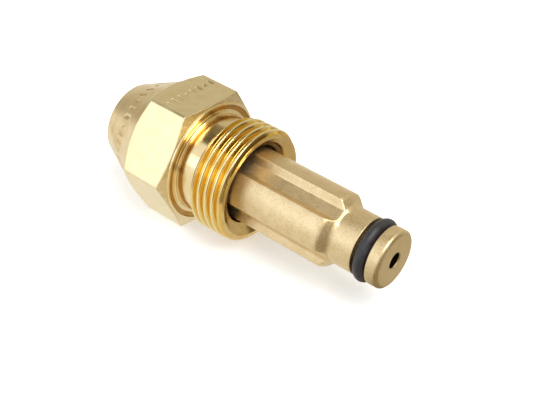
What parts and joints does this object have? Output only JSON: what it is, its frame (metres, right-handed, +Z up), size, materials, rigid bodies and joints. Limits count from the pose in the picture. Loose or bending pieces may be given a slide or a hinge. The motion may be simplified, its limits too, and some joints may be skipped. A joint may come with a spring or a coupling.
{
  "type": "oil burner nozzle",
  "caption": "Siphon oil burner nozzle: a brass hexagon body with a conical spray nose, a threaded skirt and a fluted oil stem with an O-ring.",
  "frame": {"origin": "middle of the length, on the plane the lower hexagon flat rests on, under the nozzle's axis", "axes": "+X along the nozzle's axis from the spray nose to the tail of the oil stem, +Z up out of the upper hexagon flat"},
  "size_m": [0.0488, 0.022, 0.0191],
  "materials": {
    "polished_brass": "bright machined brass",
    "satin_brass": "matte tumbled brass",
    "black_rubber": "satin moulded rubber"
  },
  "bodies": {
    "body": {"nozzle_body": "polished_brass"},
    "o_ring": {"stem_o_ring": "black_rubber"},
    "stem": {"oil_stem": "satin_brass", "distributor_tip": "satin_brass"}
  },
  "joints": [
    {"name": "stem_advance", "type": "slide", "parent": "body", "child": "o_ring", "axis": [1, 0, 0], "range_m": [0, 0.0127]},
    {"name": "stem_turn", "type": "hinge", "parent": "o_ring", "child": "stem", "pos_m": [0, 0, 0.00953], "axis": [1, 0, 0], "range_deg": [0, 3601]}
  ],
  "couplings": [
    {"joint": "stem_turn", "follows": "stem_advance", "rad_per_m": 4947.4}
  ]
}
